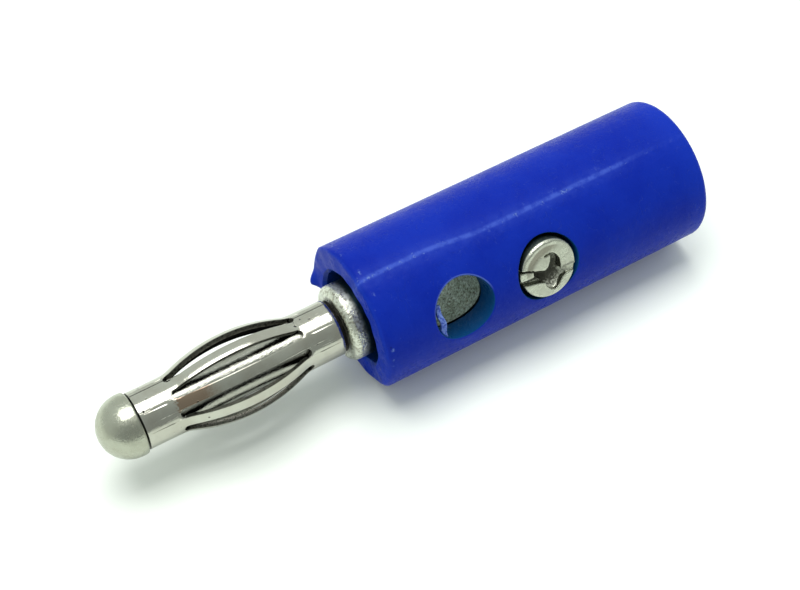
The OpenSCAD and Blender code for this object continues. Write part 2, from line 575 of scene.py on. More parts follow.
class SurfaceGroups:
    """Node groups that several finishes share, each built once."""

    def __init__(self) -> None:
        """Build every group."""
        self.grain = self._grain()
        self.pits = self._pits()
        self.scratches = self._scratches()
        self.inside = self._inside()

    @staticmethod
    def _start(name: str, output: str, **inputs: float) -> tuple[Tree, dict, Node]:
        """Make an empty group with its sockets.

        Args:
            name: Name of the group.
            output: Name of the value that it puts out.
            inputs: Names of the inputs after Vector, with their defaults.

        Returns:
            The tree, the input sockets by name, and the output node.
        """
        group = bpy.data.node_groups.new(name, "ShaderNodeTree")
        group.interface.new_socket("Vector", in_out="INPUT", socket_type="NodeSocketVector")
        for label, default in inputs.items():
            socket = group.interface.new_socket(label, in_out="INPUT", socket_type="NodeSocketFloat")
            socket.default_value = default
        group.interface.new_socket(output, in_out="OUTPUT", socket_type="NodeSocketFloat")
        tree = Tree(group)
        given = {socket.name: socket for socket in tree.add("NodeGroupInput").outputs if socket.name}
        return tree, given, tree.add("NodeGroupOutput")

    def _grain(self) -> NodeTree:
        """Build the group for soft changes of tone and fine grain.

        Returns:
            The group.
        """
        tree, given, out = self._start("surface_grain", "Value", Scale=1.0, Detail=4.0)
        noise = tree.add("TexNoise", Roughness=0.6, **given)
        tree.feed(out, "Value", tree.remap(noise.outputs["Fac"], 0.3, 0.7, 0.0, 1.0))
        return tree.tree

    def _pits(self) -> NodeTree:
        """Build the group for scattered round specks or pits.

        Returns:
            The group.
        """
        tree, given, out = self._start("surface_pits", "Mask", Scale=1.0, Size=0.2, Share=0.3)
        often = tree.times(given["Scale"], 2.5)
        wobble = tree.add("TexNoise", Vector=given["Vector"], Scale=often, Detail=2.0)
        shift = tree.add("CombineXYZ")
        tree.fill(shift, *[tree.maths("DIVIDE", 0.35, given["Scale"])] * 3)
        bent = tree.vector("MULTIPLY_ADD", wobble.outputs["Color"], shift.outputs[0], given["Vector"])
        cells = tree.add("TexVoronoi", {"feature": "F1"}, Vector=bent.outputs[0], Scale=given["Scale"])
        dice = tree.add("SeparateColor", Color=cells.outputs["Color"])
        chosen = tree.maths("LESS_THAN", dice.outputs[0], given["Share"])
        spot_r = tree.times(given["Size"], tree.maths("ADD", dice.outputs[1], 0.4))
        depth = tree.invert(tree.maths("DIVIDE", cells.outputs["Distance"], spot_r))
        tree.feed(out, "Mask", tree.times(chosen, tree.remap(depth, 0.0, 0.5, 0.0, 1.0)))
        return tree.tree

    def _scratches(self) -> NodeTree:
        """Build the group for thin scratches along the first axis of its vector.

        Returns:
            The group.
        """
        tree, given, out = self._start("surface_scratches", "Mask", Scale=1.0, Length=12.0, Width=0.02)
        squeeze = tree.add("CombineXYZ", X=tree.maths("DIVIDE", 1.0, given["Length"]), Y=1.0, Z=1.0)
        stretched = tree.vector("MULTIPLY", given["Vector"], squeeze.outputs[0])
        lines = tree.add("TexNoise", Vector=stretched.outputs[0], Scale=given["Scale"], Detail=1.0)
        thin = tree.invert(tree.maths("DIVIDE", tree.gap(lines.outputs["Fac"], 0.5), given["Width"]))
        seldom = tree.times(given["Scale"], 0.4)
        gate = tree.add("TexNoise", Vector=given["Vector"], Scale=seldom, Detail=2.0)
        here = tree.remap(gate.outputs["Fac"], 0.48, 0.62, 0.0, 1.0)
        tree.feed(out, "Mask", tree.times(tree.most(thin, 0.0), here))
        return tree.tree

    def _inside(self) -> NodeTree:
        """Build the group that masks what lies inside a round hole along Y.

        Returns:
            The group.
        """
        tree, given, out = self._start("inside_hole", "Mask", Radius=1.0, Edge=0.1)
        x, _, z = tree.parts(given["Vector"])
        squares = [tree.maths("POWER", part, 2.0) for part in (x, z)]
        reach = tree.maths("SQRT", tree.maths("ADD", *squares))
        depth = tree.maths("DIVIDE", tree.less(given["Radius"], reach), given["Edge"])
        tree.feed(out, "Mask", tree.add("Clamp", Value=depth).outputs[0])
        return tree.tree


class Skin(Tree):
    """The node tree of one finish, with coordinates in millimetres and the shared patterns."""

    def __init__(self, name: str, groups: SurfaceGroups) -> None:
        """Make the material and its coordinates.

        Args:
            name: Name of the material.
            groups: The shared node groups.
        """
        self.material = bpy.data.materials.new(name)
        self.material.use_nodes = True
        super().__init__(self.material.node_tree)
        self.groups = groups
        self.at = self.place()
        self.x, self.y, self.z = self.parts(self.at)
        self.normal = self.add("TexCoord").outputs["Normal"]

    def place(self, centre: Vector | None = None, turn: Sequence[float] = (0, 0, 0)) -> NodeSocket:
        """Add Object coordinates in millimetres.

        Args:
            centre: Point that becomes the origin, in millimetres.
            turn: Turn of the pattern in radians.

        Returns:
            The coordinates.
        """
        source = self.add("TexCoord")
        shift = -(centre or Vector())
        scale = (1 / MM, 1 / MM, 1 / MM)
        moved = self.add("Mapping", Vector=source.outputs["Object"], Location=shift, Scale=scale)
        if any(turn):
            moved = self.add("Mapping", Vector=moved.outputs[0], Rotation=turn)
        return moved.outputs[0]

    def flat(self) -> NodeSocket:
        """Return the offset from the plug's axis."""
        return self.add("CombineXYZ", X=self.x, Y=self.y).outputs[0]

    def reach(self) -> NodeSocket:
        """Return the distance from the plug's axis."""
        return self.vector("LENGTH", self.flat()).outputs["Value"]

    def outward(self) -> NodeSocket:
        """Return the direction away from the plug's axis."""
        return self.vector("NORMALIZE", self.flat()).outputs[0]

    def use(self, group: NodeTree, at: NodeSocket, **inputs: float) -> NodeSocket:
        """Place a shared group at some coordinates and return its output."""
        return self.add("Group", {"node_tree": group}, Vector=at, **inputs).outputs[0]

    def grain(self, scale: float, detail: float) -> NodeSocket:
        """Return a grain from 0 to 1."""
        return self.use(self.groups.grain, self.at, Scale=scale, Detail=detail)

    def pits(self, scale: float, size: float, share: float) -> NodeSocket:
        """Return the mask of scattered specks or pits."""
        return self.use(self.groups.pits, self.at, Scale=scale, Size=size, Share=share)

    def scratches(self, at: NodeSocket, scale: float, length: float, width: float) -> NodeSocket:
        """Return the mask of scratches along the first axis of some coordinates."""
        return self.use(self.groups.scratches, at, Scale=scale, Length=length, Width=width)

    def inside(self, centre: Vector, radius: float, edge: float) -> NodeSocket:
        """Return the mask of a round hole along Y."""
        return self.use(self.groups.inside, self.place(centre), Radius=radius, Edge=edge)

    def paint(self, base: object, *layers: tuple[NodeSocket, object]) -> NodeSocket:
        """Lay colours over each other.

        Args:
            base: The lowest colour.
            layers: Masks, each with its colour, from the lowest to the uppermost.

        Returns:
            The colour.
        """
        for mask, colour in layers:
            base = self.blend(mask, base, colour)
        return base

    def relief(self, *layers: tuple[NodeSocket, float]) -> NodeSocket:
        """Stack Bump nodes.

        Args:
            layers: Heights from 0 to 1, each with the real height of 1 in millimetres.

        Returns:
            The normal.
        """
        normal = None
        for height, depth in layers:
            node = self.add("Bump", Height=height, Distance=depth * MM, Strength=1.0)
            if normal is not None:
                self.feed(node, "Normal", normal)
            normal = node.outputs[0]
        return normal

    def end(self, **inputs: object) -> Material:
        """Add the Principled shader and the output.

        Args:
            inputs: Values or output sockets for the shader's inputs, with _ for a space.

        Returns:
            The material.
        """
        shader = self.add("BsdfPrincipled", **inputs)
        self.add("OutputMaterial", {"is_active_output": True}, Surface=shader.outputs[0])
        return self.material


@dataclass(frozen=True)
class Finish:
    """Common ground of the finishes.

    Args:
        groups: The shared node groups.
    """

    groups: SurfaceGroups


@dataclass(frozen=True)
class ScuffedPlastic(Finish):
    """Moulded blue plastic with a semi-gloss skin, a painted highlight streak, specks and a stress-whitened
    sliver.

    Args:
        socket: A point on the axis of the side socket, in millimetres.
        socket_r: Radius of the side socket.
        screw: A point on the axis of the screw's hole.
        screw_r: Radius of the screw's hole.
        bore_r: Radius of the bore that holds the barrel.
        front_z: Height of the front end.
        streak_turn: Direction of the painted highlight streak round the plug, in degrees.
        streak_lean: How far the streak has moved sideways at the front end.
        wall_reach: Where the wall of a hole begins and ends, from the hole's radius.
        worn_reach: The same for the highlight painted on the upper edge of the side socket's mouth.
        ring_edge: Width over which a ring's mask fades.
        refraction: Index of refraction of the skin.
    """

    socket: Vector = field(default_factory=Vector)
    socket_r: float = 2.05
    screw: Vector = field(default_factory=Vector)
    screw_r: float = 2.2
    bore_r: float = 3.15
    front_z: float = 24.15
    streak_turn: float = -41.0
    streak_lean: float = 0.4
    wall_reach: Point = (-0.03, 0.05)
    worn_reach: Point = (0.04, 0.14)
    ring_edge: float = 0.03
    refraction: float = 1.1
    colour: Colour = (0.0042, 0.0185, 0.305, 1.0)
    paler: Colour = (0.0075, 0.031, 0.385, 1.0)
    # Paler blue of scuffs and nicks, also used for the painted highlight streak.
    worn: Colour = (0.06, 0.115, 0.54, 1.0)
    # Pale blue of the stress-whitened sliver; also painted as the socket's rim highlight and as highlight
    # specks.
    whitening_and_highlight: Colour = (0.17, 0.26, 0.60, 1.0)
    shade: Colour = (0.004, 0.055, 0.17, 1.0)
    dirt: Colour = (0.004, 0.010, 0.08, 1.0)

    def ring(self, skin: Skin, centre: Vector, radius: float, reach: Point) -> NodeSocket:
        """Mask a ring round an axis along Y.

        Args:
            skin: The finish's tree.
            centre: A point on the axis, in millimetres.
            radius: Radius of the hole there.
            reach: Where the ring begins and ends, from that radius.

        Returns:
            The mask.
        """
        hole, wide = (skin.inside(centre, radius + off, self.ring_edge) for off in reach)
        return skin.less(wide, hole)

    def painted_rim_highlight(self, skin: Skin) -> NodeSocket:
        """Mask the upper edge of the side socket's mouth, where a highlight is painted.

        Args:
            skin: The finish's tree.

        Returns:
            The mask.
        """
        ring = self.ring(skin, self.socket, self.socket_r, self.worn_reach)
        x, _, _ = skin.parts(skin.place(self.socket))
        return skin.times(ring, skin.remap(x, 0.2, 1.2, 0.0, 0.4))

    def painted_streak(self, skin: Skin) -> NodeSocket:
        """Mask the line along the sleeve where a highlight streak is painted.

        Args:
            skin: The finish's tree.

        Returns:
            The mask.
        """
        turn = math.radians(self.streak_turn)
        lean = skin.remap(skin.z, self.front_z - 9, self.front_z - 4, 0.0, self.streak_lean)
        off = skin.gap(skin.dot(skin.at, (-math.sin(turn), math.cos(turn), 0)), lean)
        thin = skin.remap(off, 0.04, 0.24, 0.85, 0.0)
        wide = skin.remap(off, 0.1, 0.9, 0.22, 0.0)
        this_side = skin.maths("LESS_THAN", skin.y, 0.0)
        fade = skin.remap(skin.z, 2.0, 7.0, 0.1, 1.0)
        return skin.times(skin.times(skin.maths("ADD", thin, wide), this_side), fade)

    def shaded(self, skin: Skin) -> NodeSocket:
        """Mask the walls of the holes and of the bore.

        Args:
            skin: The finish's tree.

        Returns:
            The mask.
        """
        socket = self.ring(skin, self.socket, self.socket_r, self.wall_reach)
        screw = self.ring(skin, self.screw, self.screw_r, self.wall_reach)
        walls = skin.most(socket, skin.times(screw, skin.maths("LESS_THAN", skin.y, 0.0)))
        bore = skin.remap(skin.reach(), self.bore_r + 0.02, self.bore_r + 0.3, 1.0, 0.0)
        depth = skin.remap(skin.z, self.front_z - 1.6, self.front_z - 0.1, 1.0, 0.3)
        return skin.most(walls, skin.times(bore, depth))

    def material(self) -> Material:
        """Build the material.

        Returns:
            The material.
        """
        skin = Skin("scuffed_blue_plastic", self.groups)
        tone = skin.grain(scale=0.3, detail=3.0)
        fine = skin.grain(scale=8.0, detail=5.0)
        lumps = skin.grain(scale=1.6, detail=3.0)
        scuffs = skin.scratches(skin.at, scale=2.2, length=6.0, width=0.012)
        specks = skin.pits(scale=0.9, size=0.06, share=0.14)
        nicks = skin.pits(scale=4.0, size=0.17, share=0.2)
        chips = skin.pits(scale=2.6, size=0.42, share=0.55)
        chips = skin.times(chips, skin.remap(fine, 0.45, 0.8, 0.0, 1.0))
        sliver = skin.inside(self.socket, self.socket_r - 0.04, 0.06)
        frontward = skin.parts(skin.normal)[2]
        ends = skin.most(
            skin.remap(frontward, 0.6, 0.9, 0.0, 1.0),
            skin.remap(skin.z, 0.2, 2.2, 0.8, 0.0),
        )
        # Painted highlight streak along the sleeve.
        painted_light = self.painted_streak(skin)
        # Pale specks along the front edge and along the painted streak: painted highlight sparkles, with some
        # wear on the edge.
        front_edge = skin.remap(skin.gap(skin.z, self.front_z - 0.4), 0.05, 0.3, 1.0, 0.0)
        chipped = skin.times(skin.most(painted_light, front_edge), chips)
        marks = skin.most(nicks, scuffs)
        return skin.end(
            Base_Color=skin.paint(
                self.colour,
                (skin.times(tone, 0.5), self.paler),
                (ends, self.paler),
                (skin.times(scuffs, 0.16), self.worn),
                (skin.times(nicks, 0.14), self.worn),
                # The painted highlight streak, broken up by lumps.
                (skin.times(painted_light, skin.remap(lumps, 0.1, 0.9, 0.3, 0.65)), self.worn),
                (skin.times(chipped, 0.6), self.whitening_and_highlight),
                (skin.times(specks, 0.85), self.dirt),
                # Painted highlight on the upper edge of the side socket's mouth.
                (self.painted_rim_highlight(skin), self.whitening_and_highlight),
                (self.shaded(skin), self.shade),
                (skin.times(sliver, skin.remap(fine, 0.2, 0.9, 0.25, 1.0)), self.whitening_and_highlight),
            ),
            Roughness=skin.remap(lumps, 0.0, 1.0, 0.26, 0.36),
            IOR=self.refraction,
            Specular_IOR_Level=skin.remap(frontward, 0.6, 0.9, 0.65, 0.35),
            Normal=skin.relief(
                (lumps, 0.012), (fine, 0.006), (skin.invert(marks), 0.014), (skin.invert(chipped), 0.02)
            ),
        )


@dataclass(frozen=True)
class TurnedNickel(Finish):
    """Satin nickel on turned brass, pitted in the cross hole, with dirt and painted shade in the gaps at the
    core's ends under the cage and painted shade on the collar down in the sleeve.

    Args:
        hole_centre: A point on the axis of the cross hole, in millimetres.
        hole_r: Radius of the cross hole.
        core: Lowest and highest place of the core under the cage, in millimetres.
        core_r: Radius within which the surface is the core's.
        gaps: Lengths of the open gaps at the core's two ends.
        mouth_z: Height up to which the collar is down in the sleeve and gets painted shade.
    """

    hole_centre: Vector = field(default_factory=Vector)
    hole_r: float = 2.05
    core: Point = (25.2, 38.8)
    core_r: float = 1.66
    gaps: Point = (0.5, 0.25)
    mouth_z: float = 24.15
    colour: Colour = (0.425, 0.44, 0.36, 1.0)
    tarnish: Colour = (0.30, 0.295, 0.225, 1.0)
    drilled: Colour = (0.74, 0.86, 0.79, 1.0)
    worn_wall: Colour = (0.22, 0.24, 0.17, 1.0)
    core_colour: Colour = (0.38, 0.38, 0.33, 1.0)
    # Painted shade on the collar down in the sleeve's bore.
    painted_bore_shade: Colour = (0.02, 0.045, 0.05, 1.0)
    collar: Colour = (0.62, 0.64, 0.55, 1.0)
    brown: Colour = (0.20, 0.175, 0.13, 1.0)
    # Near black of dirt in the cross hole's pits, also painted as shade in the gaps at the core's ends.
    dirt_and_shade: Colour = (0.012, 0.011, 0.010, 1.0)

    def under_cage(self, skin: Skin) -> tuple[NodeSocket, NodeSocket]:
        """Mask the core, and the gaps at its ends, which get dirt and painted shade.

        Args:
            skin: The finish's tree.

        Returns:
            The mask of the core and that of the gaps.
        """
        low, high = self.core
        near = skin.remap(skin.reach(), self.core_r, self.core_r + 0.12, 1.0, 0.0)
        above = skin.maths("GREATER_THAN", skin.z, low - 0.06)
        below = skin.maths("LESS_THAN", skin.z, high + 0.01)
        core = skin.times(near, skin.times(above, below))
        rear = skin.maths("LESS_THAN", skin.z, low + self.gaps[0])
        front = skin.maths("GREATER_THAN", skin.z, high - self.gaps[1])
        return core, skin.times(core, skin.most(rear, front))

    def material(self) -> Material:
        """Build the material.

        Returns:
            The material.
        """
        skin = Skin("satin_turned_nickel", self.groups)
        tone = skin.grain(scale=0.9, detail=4.0)
        fine = skin.grain(scale=6.0, detail=4.0)
        rough = skin.grain(scale=6.0, detail=6.0)
        pits = skin.pits(scale=3.0, size=0.12, share=0.2)
        inside = skin.inside(self.hole_centre, self.hole_r + 0.02, 0.02)
        outside = skin.invert(inside)
        holes = skin.times(skin.pits(scale=3.2, size=0.2, share=0.35), inside)
        # The gaps at the core's ends get dirt and painted shade.
        core, dirt_and_shade_mask = self.under_cage(skin)
        clear = skin.invert(dirt_and_shade_mask)
        walls = skin.blend(rough, self.worn_wall, self.drilled)
        walls = skin.blend(skin.times(holes, 0.85), walls, self.dirt_and_shade)
        # Darker where the collar goes into the sleeve: painted shade.
        low = skin.times(skin.remap(skin.z, self.mouth_z - 0.1, self.mouth_z + 0.4, 1.0, 0.0), outside)
        collar = skin.times(skin.maths("LESS_THAN", skin.z, self.core[0] + 0.02), outside)
        patchy = skin.times(collar, skin.remap(fine, 0.3, 0.9, 1.0, 0.4))
        dull = skin.most(skin.most(inside, dirt_and_shade_mask), skin.times(collar, 0.12))
        polish = skin.maths("MULTIPLY_ADD", core, -0.12, skin.remap(tone, 0.0, 1.0, 0.22, 0.34))
        return skin.end(
            Base_Color=skin.paint(
                self.colour,
                (skin.times(tone, 0.4), self.tarnish),
                (skin.times(pits, 0.6), self.tarnish),
                (inside, walls),
                (core, self.core_colour),
                (dirt_and_shade_mask, self.dirt_and_shade),
                (skin.times(patchy, clear), self.collar),
                (skin.times(collar, skin.remap(rough, 0.52, 0.85, 0.0, 0.55)), self.brown),
                (low, self.painted_bore_shade),
            ),
            Metallic=clear,
            Roughness=skin.maths("MULTIPLY_ADD", dull, 0.3, polish),
            Specular_IOR_Level=skin.remap(dirt_and_shade_mask, 0.0, 1.0, 0.5, 0.05),
            Normal=skin.relief(
                (fine, 0.006),
                (skin.times(fine, collar), 0.007),
                (skin.times(rough, inside), 0.08),
                (skin.invert(skin.most(pits, holes)), 0.02),
            ),
        )


@dataclass(frozen=True)
class RolledNickel(Finish):
    """Bright nickel on rolled strip, with pits, a painted brown reflection, dull cut edges and a near-black
    inside of dirt and painted shade.

    Args:
        reflection_turn: Direction of the painted brown reflection round the plug, in degrees.
        reflection_z: Lowest and highest place of the painted reflection, in millimetres.
    """

    reflection_turn: float = -63.0
    reflection_z: Point = (34.2, 36.4)
    colour: Colour = (0.495, 0.50, 0.435, 1.0)
    dull: Colour = (0.15, 0.148, 0.125, 1.0)
    stain: Colour = (0.27, 0.22, 0.165, 1.0)
    # Brown of the painted reflection on one leaf.
    brown: Colour = (0.30, 0.20, 0.13, 1.0)
    # Near black of dirt in pits and flecks, also painted as shade inside the cage and on its rear-facing
    # ends.
    dirt_and_shade: Colour = (0.010, 0.009, 0.008, 1.0)

    def painted_brown_reflection(self, skin: Skin, fine: NodeSocket) -> NodeSocket:
        """Mask the brown reflection painted at the front end of one leaf.

        Args:
            skin: The finish's tree.
            fine: A fine grain that frays its edge.

        Returns:
            The mask.
        """
        turn = math.radians(self.reflection_turn)
        low, high = self.reflection_z
        beside = skin.dot(skin.outward(), (math.cos(turn), math.sin(turn), 0))
        height = skin.maths("MULTIPLY_ADD", fine, 0.3, skin.z)
        begin = skin.remap(height, low - 0.5, low + 0.9, 0.0, 1.0)
        along = skin.times(begin, skin.remap(height, high + 0.1, high + 0.3, 1.0, 0.0))
        return skin.times(along, skin.remap(beside, 0.94, 0.975, 0.0, 0.8))

    def material(self) -> Material:
        """Build the material.

        Returns:
            The material.
        """
        skin = Skin("bright_rolled_nickel", self.groups)
        along = skin.place(turn=(0, math.pi / 2, 0))
        tone = skin.grain(scale=0.6, detail=3.0)
        fine = skin.grain(scale=9.0, detail=3.0)
        pits = skin.pits(scale=1.7, size=0.14, share=0.45)
        marks = skin.scratches(along, scale=4.0, length=10.0, width=0.03)
        facing = skin.dot(skin.outward(), skin.normal)
        # Faces turned in towards the core are painted near black: dirt and painted shade.
        dirt_and_shade_mask = skin.remap(facing, -0.65, -0.3, 1.0, 0.0)
        cut = skin.remap(facing, 0.45, 0.8, 1.0, 0.0)
        flecks = skin.times(cut, skin.remap(fine, 0.55, 0.85, 0.0, 0.75))
        # Faces turned to the rear, at the ring's end by the collar, are painted near black: painted shade,
        # with dirt.
        rearward = skin.remap(skin.dot(skin.normal, (0, 0, -1)), 0.36, 0.5, 0.0, 0.95)
        smooth = skin.maths("MULTIPLY_ADD", cut, 0.25, skin.remap(tone, 0.0, 1.0, 0.07, 0.14))
        return skin.end(
            Base_Color=skin.paint(
                self.colour,
                (skin.times(tone, 0.25), self.stain),
                (self.painted_brown_reflection(skin, fine), self.brown),
                (cut, self.dull),
                (skin.most(skin.times(pits, 0.9), skin.most(flecks, rearward)), self.dirt_and_shade),
                (dirt_and_shade_mask, self.dirt_and_shade),
            ),
            Metallic=skin.invert(dirt_and_shade_mask),
            Roughness=skin.maths("MULTIPLY_ADD", dirt_and_shade_mask, 0.4, smooth),
            Specular_IOR_Level=skin.remap(dirt_and_shade_mask, 0.0, 1.0, 0.5, 0.05),
            Normal=skin.relief((fine, 0.0012), (skin.invert(marks), 0.002), (skin.invert(pits), 0.015)),
        )


@dataclass(frozen=True)
class WornSteel(Finish):
    """Plated steel of the screw, scratched on top, with painted shade in a crescent on the face and down the
    head's side, and dirt and painted shade down in the recess.

    Args:
        top_y: Height of the head's top along Y, in millimetres.
        centre: A point on the screw's axis.
        head_r: Radius of the head.
        worn_way: Direction in which the painted shade crescent lies.
        crescent_r: Radii of the disc that bounds the crescent outside and of the one inside.
        crescent_edges: Widths over which the two discs fade.
        crescent_shift: How far apart their centres are.
    """

    top_y: float = -4.85
    centre: Vector = field(default_factory=Vector)
    head_r: float = 1.95
    worn_way: tuple = (0.88, 0, 0.47)
    crescent_r: Point = (1.64, 1.62)
    crescent_edges: Point = (0.1, 0.3)
    crescent_shift: float = 0.45
    colour: Colour = (0.505, 0.525, 0.44, 1.0)
    tarnish: Colour = (0.27, 0.26, 0.21, 1.0)
    # Painted shade of the crescent inside the turned-up edge.
    painted_light: Colour = (0.23, 0.222, 0.18, 1.0)
    # Painted shade on the head's side down in the hole.
    side: Colour = (0.012, 0.034, 0.04, 1.0)
    # Near black of dirt and painted shade down in the recess.
    dirt_and_shade: Colour = (0.028, 0.026, 0.02, 1.0)

    def painted_shade_crescent(self, skin: Skin) -> NodeSocket:
        """Mask the crescent inside the turned-up edge of the face, where shade is painted.

        Args:
            skin: The finish's tree.

        Returns:
            The mask.
        """
        way = Vector(self.worn_way)
        centres = (self.centre, self.centre - self.crescent_shift * way)
        discs = zip(centres, self.crescent_r, self.crescent_edges)
        wide, hole = (skin.inside(*disc) for disc in discs)
        here = skin.remap(skin.dot(skin.place(self.centre), way), 0.45, 1.1, 0.0, 1.0)
        crescent = skin.add("Clamp", Value=skin.less(wide, hole))
        return skin.times(crescent.outputs[0], here)

    def material(self) -> Material:
        """Build the material.

        Returns:
            The material.
        """
        skin = Skin("worn_plated_steel", self.groups)
        tone = skin.grain(scale=1.6, detail=4.0)
        fine = skin.grain(scale=7.0, detail=5.0)
        marks = skin.scratches(skin.at, scale=5.0, length=8.0, width=0.03)
        down = skin.less(skin.y, self.top_y)
        # Darker the deeper down the recess: dirt and painted shade.
        recess_dirt_and_shade = skin.remap(skin.maths("MULTIPLY_ADD", fine, 0.4, down), 0.45, 0.95, 0.0, 0.88)
        # The head's side wall, below the face, gets painted shade.
        off_face = skin.invert(skin.inside(self.centre, self.head_r - 0.02, 0.03))
        side = skin.times(off_face, skin.remap(down, 0.12, 0.25, 0.0, 0.85))
        smooth = skin.remap(tone, 0.0, 1.0, 0.22, 0.36)
        return skin.end(
            Base_Color=skin.paint(
                self.colour,
                (skin.times(tone, 0.25), self.tarnish),
                (self.painted_shade_crescent(skin), self.painted_light),
                (skin.times(marks, 0.35), self.tarnish),
                (recess_dirt_and_shade, self.dirt_and_shade),
                (side, self.side),
            ),
            Metallic=1.0,
            Roughness=skin.maths("MULTIPLY_ADD", skin.most(recess_dirt_and_shade, side), 0.3, smooth),
            Normal=skin.relief((fine, 0.008), (skin.invert(marks), 0.006)),
        )


@dataclass
class Piece:
    """A piece that stands for one CAD node.

    Args:
        node: The CAD node.
        body: The body that it rides on.
        slot: The material slot of the record; not used.
        smooth_angle: Edges sharper than this, in degrees, stay sharp.
    """

    node: str
    body: Body
    slot: Slot
    smooth_angle: float = 32.0

    def settle(self, obj: Object, material: Material) -> None:
        """Bring a finished mesh to metres, dress it and put it on its body.

        Args:
            obj: The mesh, in millimetres.
            material: Its material.
        """
        obj.name = self.node + "_dressed"
        obj.data.name = obj.name
        activate(obj)
        obj.scale = (MM, MM, MM)
        bpy.ops.object.transform_apply(location=True, rotation=True, scale=True)
        bpy.ops.object.shade_smooth_by_angle(angle=math.radians(self.smooth_angle))
        obj.data.materials.clear()
        obj.data.materials.append(material)
        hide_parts(self.node)
        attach(obj, self.body.value)
        log.info("%s: %d faces, rides on %s", obj.name, len(obj.data.polygons), self.body.value)


def mount(name: str) -> tuple[Vector, float]:
    """Return a mount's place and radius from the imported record, in millimetres."""
    found = next(item for item in frame["record"]["mounts"] if item["name"] == name)
    return Vector(found["pos_m"]) / MM, found["dims"].get("r_mm", 0.0)


def box_mm(node: str) -> tuple[Vector, Vector]:
    """Return a CAD node's lowest and highest corners in millimetres."""
    low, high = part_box(node)
    return low / MM, high / MM


def screw_place() -> Point:
    """Return the height of the screw's axis and the radius of its head, in millimetres."""
    low, high = box_mm("clamp_screw")
    return (low.z + high.z) / 2, (high.z - low.z) / 2


